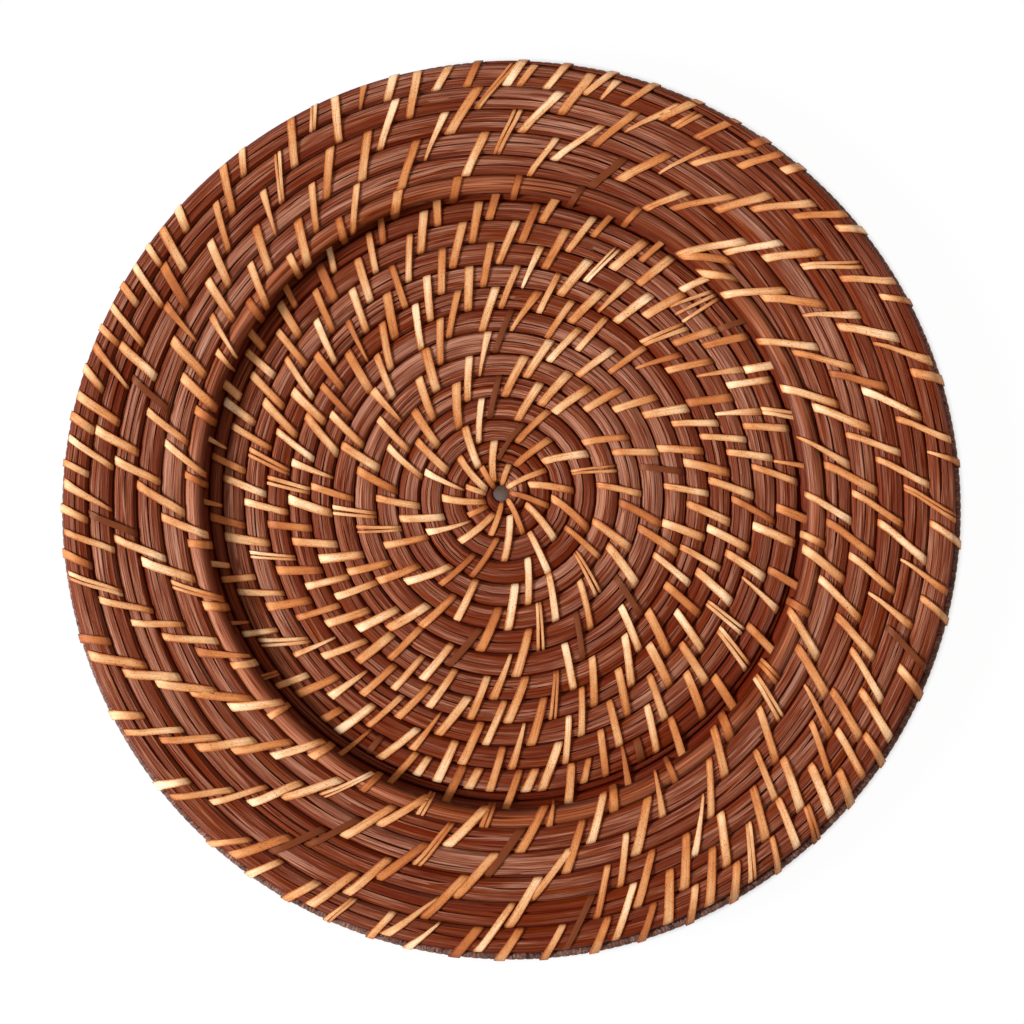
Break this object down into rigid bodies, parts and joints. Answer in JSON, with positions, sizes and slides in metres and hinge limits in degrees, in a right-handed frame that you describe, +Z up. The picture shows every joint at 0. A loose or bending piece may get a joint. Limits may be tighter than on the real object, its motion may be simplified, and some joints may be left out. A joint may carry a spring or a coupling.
{
  "type": "charger plate",
  "caption": "Round coiled rattan charger plate with a sunken flat well, a round shoulder and a broad gently rising rim, its dark rows held by honey-coloured peel stitches",
  "frame": {"origin": "on the table under the centre of the round outline", "axes": "+Z up out of the well; +Y is the top of the picture and +X its right"},
  "size_m": [0.3296, 0.3298, 0.0191],
  "materials": {
    "core": "satin lacquer",
    "rod": "satin lacquer",
    "hoop": "matt",
    "peel": "satin lacquer"
  },
  "bodies": {
    "root": {"floor_coil": "core", "foot_ring": "core", "rim_coil": "core", "shoulder_rod": "rod", "edge_hoop": "hoop", "floor_stitches_01": "peel", "floor_stitches_02": "peel", "floor_stitches_03": "peel", "floor_stitches_04": "peel", "floor_stitches_05": "peel", "floor_stitches_06": "peel", "floor_stitches_07": "peel", "floor_stitches_08": "peel", "floor_stitches_09": "peel", "floor_stitches_10": "peel", "floor_stitches_11": "peel", "floor_stitches_12": "peel", "foot_stitches": "peel", "shoulder_stitches": "peel", "rim_stitches_1": "peel", "rim_stitches_2": "peel", "rim_stitches_3": "peel", "rim_stitches_4": "peel", "rim_stitches_5": "peel", "edge_stitches": "peel"}
  },
  "joints": []
}
